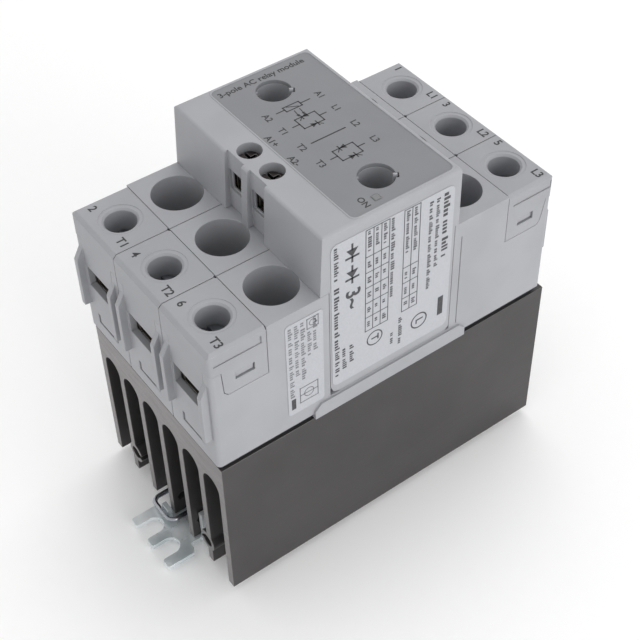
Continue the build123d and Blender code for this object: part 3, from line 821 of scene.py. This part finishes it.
@dataclass
class Housing:
    """The light grey housing and cover with their inner electronics."""

    finishes: Finishes

    def dress(self) -> list[str]:
        """Dress the moulded nodes and the electronics and return their names."""
        plan = {
            "housing": self.finishes.housing, "centre_cover": self.finishes.housing,
            "control_pcb": self.finishes.board, "optocouplers": self.finishes.epoxy,
            "varistors": self.finishes.blue_dip, "snubber_capacitors": self.finishes.ceramic,
            "status_led": self.finishes.lens, "light_pipe": self.finishes.lens,
        }
        for number in (1, 2):
            plan[f"control_cage_a{number}"] = self.finishes.cage
            plan[f"control_clamp_a{number}"] = self.finishes.screw
            plan[f"control_screw_a{number}"] = self.finishes.dark_screw
        return dress(plan)


@dataclass
class Fascia:
    """Printed plate on the cover's top with its raised rim and wiring diagram."""

    finishes: Finishes
    rim_width: float = 0.5
    rim_height: float = 0.22
    rim_radius: float = 1.6
    rim_gap: float = 0.12
    line: float = 0.28
    column_u: dict[int, float] = field(default_factory=lambda: {1: -5.0, 2: 1.7, 3: 8.4})
    symbol_v: tuple[float, float] = (-0.95, 4.25)
    lead_v: tuple[float, float] = (-2.7, 6.0)
    symbol_half: float = 1.85
    load_v: float = -5.2
    line_v: float = 8.6
    coil_u: float = -11.0
    coil_v: tuple[float, float] = (-0.6, 3.5)
    coil_half: float = 0.8
    text: float = 1.55
    thin_weight: float = 0.03
    mark_weight: float = 0.045

    def plane(self) -> PrintPlane:
        """The plate's top face."""
        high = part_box("fascia_plate")[1]
        return PrintPlane((0.0, 0.0, high[2] / MM), (1, 0, 0), (0, 1, 0))

    def build_rim(self) -> bpy.types.Object:
        """Raised rim round the plate: a half-round profile carried along a rounded rectangle.

        The path is four straight runs joined by four quarter circles, and the profile at angle s is
        (w cos s, h sin s) across and above it.
        """
        low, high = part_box("fascia_plate")
        centre = (np.array(low[:2]) + np.array(high[:2])) / 2 / MM
        half = (np.array(high[:2]) - np.array(low[:2])) / 2 / MM + self.rim_gap
        corner = np.linspace(0, math.pi / 2, 9)
        arcs, normals = [], []
        for quarter, sign in enumerate(((1, 1), (-1, 1), (-1, -1), (1, -1))):
            turn = corner + quarter * math.pi / 2
            unit = np.stack([np.cos(turn), np.sin(turn)], 1)
            arcs.append(centre + np.array(sign) * (half - self.rim_radius) + unit * self.rim_radius)
            normals.append(unit)
        path, out = np.concatenate(arcs), np.concatenate(normals)
        profile = np.linspace(0, math.pi, 9)
        across = np.cos(profile)[None, :, None] * out[:, None, :] * self.rim_width / 2
        height = high[2] / MM - 0.02 + np.sin(profile) * self.rim_height
        points = np.empty((len(path), len(profile), 3))
        points[..., :2] = path[:, None, :] + across
        points[..., 2] = height[None, :]
        mesh = grid_mesh("fascia_rim", points * MM, wrap_u=True, wrap_v=True)
        return new_object("fascia_rim", mesh, self.finishes.housing, "root")

    def switch_symbol(self, printer: Printer, u: float) -> None:
        """Print two thyristors in antiparallel: a box of lines with a triangle and bar on each side.

        Args:
            printer: the printer to use.
            u: centre of the symbol in millimetres.
        """
        low, high = self.symbol_v
        mid = (low + high) / 2
        half, width = self.symbol_half, self.line
        box = [(u - half, low), (u + half, low), (u + half, high), (u - half, high), (u - half, low)]
        printer.stroke(box, width)
        printer.stroke([(u, low), (u, self.lead_v[0])], width)
        printer.stroke([(u, high), (u, self.lead_v[1])], width)
        for side, point in ((-1, -1), (1, 1)):
            x = u + side * half
            tip, back = mid + point * 0.75, mid - point * 0.75
            triangle = [(x - 0.75, back), (x + 0.75, back), (x, tip)]
            printer.polygon(triangle if point > 0 else triangle[::-1])
            printer.stroke([(x - 0.8, tip), (x + 0.8, tip)], width)
            printer.stroke([(x, tip), (x + 0.9, tip + point * 0.9)], width * 0.8)

    def build_diagram(self) -> bpy.types.Object:
        """Print the wiring diagram: two switched poles, a straight pole and the control input."""
        printer = Printer(self.plane())
        for pole in (1, 3):
            self.switch_symbol(printer, self.column_u[pole])
        bottom, top = self.lead_v
        printer.stroke([(self.column_u[2], bottom), (self.column_u[2], top)], self.line * 1.2)
        u, (low, high) = self.coil_u, self.coil_v
        left, right = u - self.coil_half, u + self.coil_half
        printer.stroke([(u, bottom), (u, low)], self.line)
        printer.stroke([(u, high), (u, top)], self.line)
        printer.stroke([(left, low), (right, low), (right, high), (left, high), (left, low)], self.line)
        printer.stroke([(u - 0.6, low + 0.9), (u + 0.6, high - 0.9)], self.line * 0.8)
        x = u + 1.5
        for y in (0.9, 2.3):
            printer.stroke([(x, y), (x + 1.6, y - 0.2)], self.line * 0.8)
            printer.polygon([(x + 1.5, y - 0.6), (x + 2.3, y - 0.3), (x + 1.5, y + 0.2)])
        for pole, u in self.column_u.items():
            printer.word(f"T{pole}", u - 0.1, self.load_v, self.text, self.thin_weight)
            printer.word(f"L{pole}", u + 0.1, self.line_v, self.text, self.thin_weight)
        printer.word("A2", self.coil_u + 0.1, self.load_v, self.text, self.thin_weight)
        printer.word("A1", self.coil_u + 0.1, self.line_v, self.text, self.thin_weight)
        printer.word("A1+", -3.9, -9.0, self.text, self.mark_weight)
        printer.word("A2-", 4.2, -9.0, self.text, self.mark_weight)
        printer.word("ON", 23.1, -5.6, self.text * 0.95, 0.035)
        return printer.finish("wiring_diagram", self.finishes.ink, "root", "fascia_plastic")

    def build_title(self) -> bpy.types.Object:
        """Print the plain words that say what the device is, along the plate's left edge."""
        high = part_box("fascia_plate")[1]
        printer = Printer(PrintPlane((-23.6, 2.0, high[2] / MM), (0, 1, 0), (-1, 0, 0)))
        printer.word("3-pole AC relay module", 0.0, 0.0, 1.62, 0.04)
        return printer.finish("device_words", self.finishes.ink, "root", "fascia_plastic")

    def build(self) -> list[str]:
        """Build the fascia's pieces.

        Returns:
            Names of the pieces.
        """
        made = (self.build_rim(), self.build_diagram(), self.build_title())
        return dress({"fascia_plate": self.finishes.fascia}) + [piece.name for piece in made]


@dataclass
class Labels:
    """Print on the rating label and on the small connection label.

    Reading runs down the side, along -Z, with the letters' tops towards +Y. Lines of small print are
    drawn as rows of short bars, so that nothing on them can be read.
    """

    finishes: Finishes
    rule: float = 0.2
    seed: int = 7

    def plane(self, node: str) -> PrintPlane:
        """Reading plane on a label, with its origin at the label's top and y = 0."""
        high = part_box(node)[1]
        return PrintPlane((high[0] / MM, 0.0, high[2] / MM), (0, 0, -1), (0, 1, 0))

    def small_print(
        self, printer: Printer, u: float, v: float, length: float, height: float, rng: np.random.Generator
    ) -> None:
        """Print one unreadable line as short bars of uneven length.

        Args:
            printer: the printer to use.
            u: start of the line.
            v: centre of the line.
            length: length of the line.
            height: height of the bars.
            rng: random numbers for the lengths.
        """
        place = u
        while place < u + length:
            letters = rng.integers(2, 7)
            for _ in range(letters):
                if place > u + length:
                    break
                wide = height * rng.uniform(0.28, 0.5)
                tall = height * rng.choice([0.7, 0.7, 1.0])
                printer.bar(place, v - (height - tall) / 2, wide, tall)
                place += wide + height * 0.22
            place += height * 0.5

    def table(
        self, printer: Printer, u_lines: Sequence[float], v_lines: Sequence[float], rng: np.random.Generator
    ) -> None:
        """Print a ruled table with a short unreadable entry in each cell."""
        for u in u_lines:
            printer.stroke([(u, v_lines[0]), (u, v_lines[-1])], self.rule)
        for v in v_lines:
            printer.stroke([(u_lines[0], v), (u_lines[-1], v)], self.rule)
        for left, right in zip(u_lines[:-1], u_lines[1:]):
            for low, high in zip(v_lines[:-1], v_lines[1:]):
                fill = 0.72 if left == u_lines[0] else 0.35
                length = (right - left) * fill
                start = left + 0.5 if left == u_lines[0] else (left + right - length) / 2
                self.small_print(printer, start, (low + high) / 2, length, 0.95, rng)

    def build_rating(self) -> list[bpy.types.Object]:
        """Print the rating label: heading, small lines, two ruled tables and plain symbols."""
        rng = np.random.default_rng(self.seed)
        plane = self.plane("rating_label")
        printer = Printer(plane)
        self.small_print(printer, 1.2, 13.1, 18.0, 1.7, rng)
        self.small_print(printer, 1.6, 10.8, 19.0, 1.0, rng)
        self.small_print(printer, 1.6, 8.95, 24.5, 1.0, rng)
        self.small_print(printer, 0.6, -1.0, 22.0, 1.0, rng)
        table_a = [0.35, 7.7, 12.1, 16.4, 20.9, 25.2, 29.3]
        self.table(printer, table_a, [-8.0, -6.0, -4.0, -1.97], rng)
        table_b = [0.3, 16.4, 20.9, 25.4, 29.3]
        self.table(printer, table_b, [1.84, 3.9, 6.0], rng)
        self.small_print(printer, 0.9, -15.4, 9.0, 1.1, rng)
        self.small_print(printer, 12.0, -15.4, 18.0, 1.3, rng)
        for row in range(3):
            self.small_print(printer, 30.8, -15.4 + 1.9 * row, 7.5 - row, 1.1, rng)
        self.small_print(printer, 30.8, 1.6, 8.0, 1.0, rng)
        self.small_print(printer, 34.2, -0.6, 3.2, 1.0, rng)
        # a plain wiring symbol and phase mark, where the real label carries its marks
        self.pole_symbol(printer, 4.3, -11.4)
        self.pole_symbol(printer, 10.2, -11.4)
        printer.word("3~", 17.2, -11.4, 3.6, 0.12)
        printer.ring(35.0, 6.9, 2.1, 0.35)
        printer.word("L", 35.0, 6.9, 2.0, 0.06)
        printer.ring(32.6, -5.4, 2.0, 0.3)
        printer.word("T", 32.6, -5.4, 1.9, 0.06)
        printer.bar(31.2, 12.9, 5.6, 1.5)
        return [printer.finish("rating_print", self.finishes.label_ink, "root", "label")]

    def pole_symbol(self, printer: Printer, u: float, v: float) -> None:
        """Print a bold switched-pole symbol: a lead, a triangle against a bar, and a lead."""
        printer.stroke([(u - 2.3, v), (u - 1.0, v)], 0.5)
        printer.polygon([(u - 1.1, v - 1.5), (u + 1.0, v), (u - 1.1, v + 1.5)])
        printer.stroke([(u + 1.1, v - 1.5), (u + 1.1, v + 1.5)], 0.55)
        printer.stroke([(u + 1.1, v), (u + 2.3, v)], 0.5)

    def build_connection(self) -> list[bpy.types.Object]:
        """Print the small label: one boxed symbol and rows of small grey lines."""
        rng = np.random.default_rng(self.seed + 1)
        plane = self.plane("connection_label")
        grey, black = Printer(plane), Printer(plane)
        for row, length in enumerate((20.5, 15.0, 16.5, 0.0, 9.5)):
            if length:
                self.small_print(grey, 1.0, -27.1 + 1.55 * row, length, 1.1, rng)
        self.small_print(grey, 4.6, -22.4, 6.5, 1.0, rng)
        box = [(0.9, -22.9), (3.7, -22.9), (3.7, -20.1), (0.9, -20.1), (0.9, -22.9)]
        grey.stroke(box, 0.25)
        grey.ring(2.3, -21.5, 0.8, 0.22)
        black.bar(22.6, -26.9, 3.2, 1.1)
        grey.stroke([(20.4, -25.2), (24.9, -25.2), (24.9, -20.6), (20.4, -20.6), (20.4, -25.2)], 0.25)
        grey.stroke([(22.65, -25.2), (22.65, -20.6)], 0.25)
        grey.ring(22.65, -22.9, 1.2, 0.22)
        return [
            grey.finish("connection_print_grey", self.finishes.faint_ink, "root", "label"),
            black.finish("connection_print_black", self.finishes.label_ink, "root", "label"),
        ]

    def build(self) -> list[str]:
        """Dress both labels and print them.

        Returns:
            Names of the pieces.
        """
        made = [piece.name for piece in self.build_rating() + self.build_connection()]
        return dress({"rating_label": self.finishes.label, "connection_label": self.finishes.label}) + made


# --------------------------------------------------------------------------- studio
@dataclass(frozen=True)
class SoftBox:
    """A square soft light: its name, place and side in metres, and power in watts."""

    name: str
    place: tuple[float, float, float]
    side: float
    watts: float


@dataclass
class Studio:
    """Pale floor, soft lights and the camera."""

    floor_colour: str = "#F4F4F4"
    floor_pale: str = "#F8F8F8"
    floor_glow: float = 0.08
    fibre_mm: float = 3.0
    floor_gap: float = 0.0002
    floor_radii: tuple[float, float] = (0.02, 1.6)
    cove_radius: float = 0.5
    air_strength: float = 0.78
    soft_boxes: tuple[SoftBox, ...] = (
        SoftBox("key_softbox", (0.95, 0.12, 0.35), 0.6, 3.3),
        SoftBox("top_softbox", (-0.2, 0.25, 1.0), 0.5, 2.2),
    )
    azimuth: float = 55.06
    elevation: float = 44.08
    roll: float = -1.64
    distance: float = 0.2995
    target: tuple[float, float, float] = (0.00502, -0.00562, 0.01787)
    lens: float = 75.49
    shift: tuple[float, float] = (0.0110, -0.0726)

    def aim(self) -> Vector:
        """Point that the camera and lights face, with its height measured from the heatsink's top."""
        return Vector(self.target) + Vector((0.0, 0.0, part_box("heatsink")[1].z))

    def build_floor(self) -> None:
        """Make the floor: a wide flat disc of rings that turns up at its rim like a studio cove."""
        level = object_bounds()[0].z - self.floor_gap
        flat, bend = np.linspace(*self.floor_radii, 12), np.linspace(0.1, 1.5, 10)
        radius = np.concatenate([flat, self.floor_radii[1] + self.cove_radius * np.sin(bend)])
        rise = np.concatenate([np.zeros(12), self.cove_radius * (1 - np.cos(bend))])
        turn = np.linspace(0, 2 * math.pi, 64, endpoint=False)
        points = np.stack(
            [
                radius[:, None] * np.cos(turn), radius[:, None] * np.sin(turn),
                np.broadcast_to((level + rise)[:, None], (len(radius), len(turn))),
            ], -1,
        )
        mesh = grid_mesh("studio_floor", points, wrap_u=False, wrap_v=True)
        made = bpy.data.objects.new("studio_floor", mesh)
        bpy.context.scene.collection.objects.link(made)
        hub = bpy.data.meshes.new("studio_floor_hub")
        ring = points[0]
        hub.from_pydata(ring.tolist(), [], [list(range(len(ring)))])
        centre = bpy.data.objects.new("studio_floor_hub", hub)
        bpy.context.scene.collection.objects.link(centre)
        material, tree, shader, coords = blank_material("white_paper_backdrop")
        fibre = add_node(
            tree, NOISE, {"Vector": coords.outputs["Object"], "Scale": per_mm(self.fibre_mm)}, 0
        )
        set_inputs(tree, shader, {
            "Base Color": add_node(
                tree, MIX, {0: fibre, 6: linear(self.floor_colour), 7: linear(self.floor_pale)}, **COLOURS
            ),
            "Roughness": 0.9,
            "Emission Color": linear("#FFFFFF"),
            "Emission Strength": self.floor_glow,
        })
        for piece in (made, centre):
            piece.data.materials.append(material)
            piece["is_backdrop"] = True

    def build_light(self, box: SoftBox) -> None:
        """Make one square soft box that faces the relay."""
        data = bpy.data.lights.new(box.name, "AREA")
        data.shape, data.size, data.energy = "SQUARE", box.side, box.watts
        made = bpy.data.objects.new(box.name, data)
        bpy.context.scene.collection.objects.link(made)
        made.location = box.place
        made.rotation_mode = "QUATERNION"
        made.rotation_quaternion = (self.aim() - Vector(box.place)).to_track_quat("-Z", "Y")

    def build_world(self) -> None:
        """Fill light from all round."""
        world = bpy.data.worlds.new("studio_air")
        bpy.context.scene.world = world
        world.use_nodes = True
        tree = world.node_tree
        tree.nodes.clear()
        sky = {"Color": linear("#FFFFFF"), "Strength": self.air_strength}
        add_node(
            tree, "ShaderNodeOutputWorld", {"Surface": add_node(tree, "ShaderNodeBackground", sky, 0)}
        )

    def build_camera(self) -> None:
        """Place the camera by its bearing, height angle, roll and distance from the target."""
        a, e, r = (math.radians(x) for x in (self.azimuth, self.elevation, self.roll))
        back = Vector((math.sin(a) * math.cos(e), -math.cos(a) * math.cos(e), math.sin(e)))
        right = Vector((math.cos(a), math.sin(a), 0.0))
        up = back.cross(right)
        rolled_right = right * math.cos(r) + up * math.sin(r)
        rolled_up = up * math.cos(r) - right * math.sin(r)
        data = bpy.data.cameras.new("camera")
        data.sensor_width, data.lens = 36.0, self.lens
        data.shift_x, data.shift_y = self.shift
        data.clip_start, data.clip_end = 0.01, 20.0
        made = bpy.data.objects.new("camera", data)
        bpy.context.scene.collection.objects.link(made)
        rotation = Matrix((rolled_right, rolled_up, back)).transposed()
        made.matrix_world = Matrix.Translation(self.aim() + back * self.distance) @ rotation.to_4x4()
        bpy.context.scene.camera = made

    def build(self) -> None:
        """Build the whole studio."""
        self.build_floor()
        self.build_world()
        for box in self.soft_boxes:
            self.build_light(box)
        self.build_camera()
        view = bpy.context.scene.view_settings
        view.view_transform, view.look = "Standard", "None"


def main() -> None:
    """Build the relay's looks in order, then the studio."""
    logging.basicConfig(level=logging.INFO, format="%(name)s %(message)s")
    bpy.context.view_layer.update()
    finishes = Finishes()
    steps = [
        ("heatsink", Heatsink(finishes).dress()),
        ("power stage", PowerStage(finishes).dress()),
        ("housing", Housing(finishes).dress()),
        ("fascia", Fascia(finishes).build()),
        ("labels", Labels(finishes).build()),
    ]
    for end in End:
        for pole in Pole:
            steps.append((f"terminal {end.value}{pole.number}", TerminalBank(finishes, end, pole).build()))
    for title, made in steps:
        LOG.info("%s: %s", title, ", ".join(made))
    Studio().build()


if __name__ == "__main__":
    main()
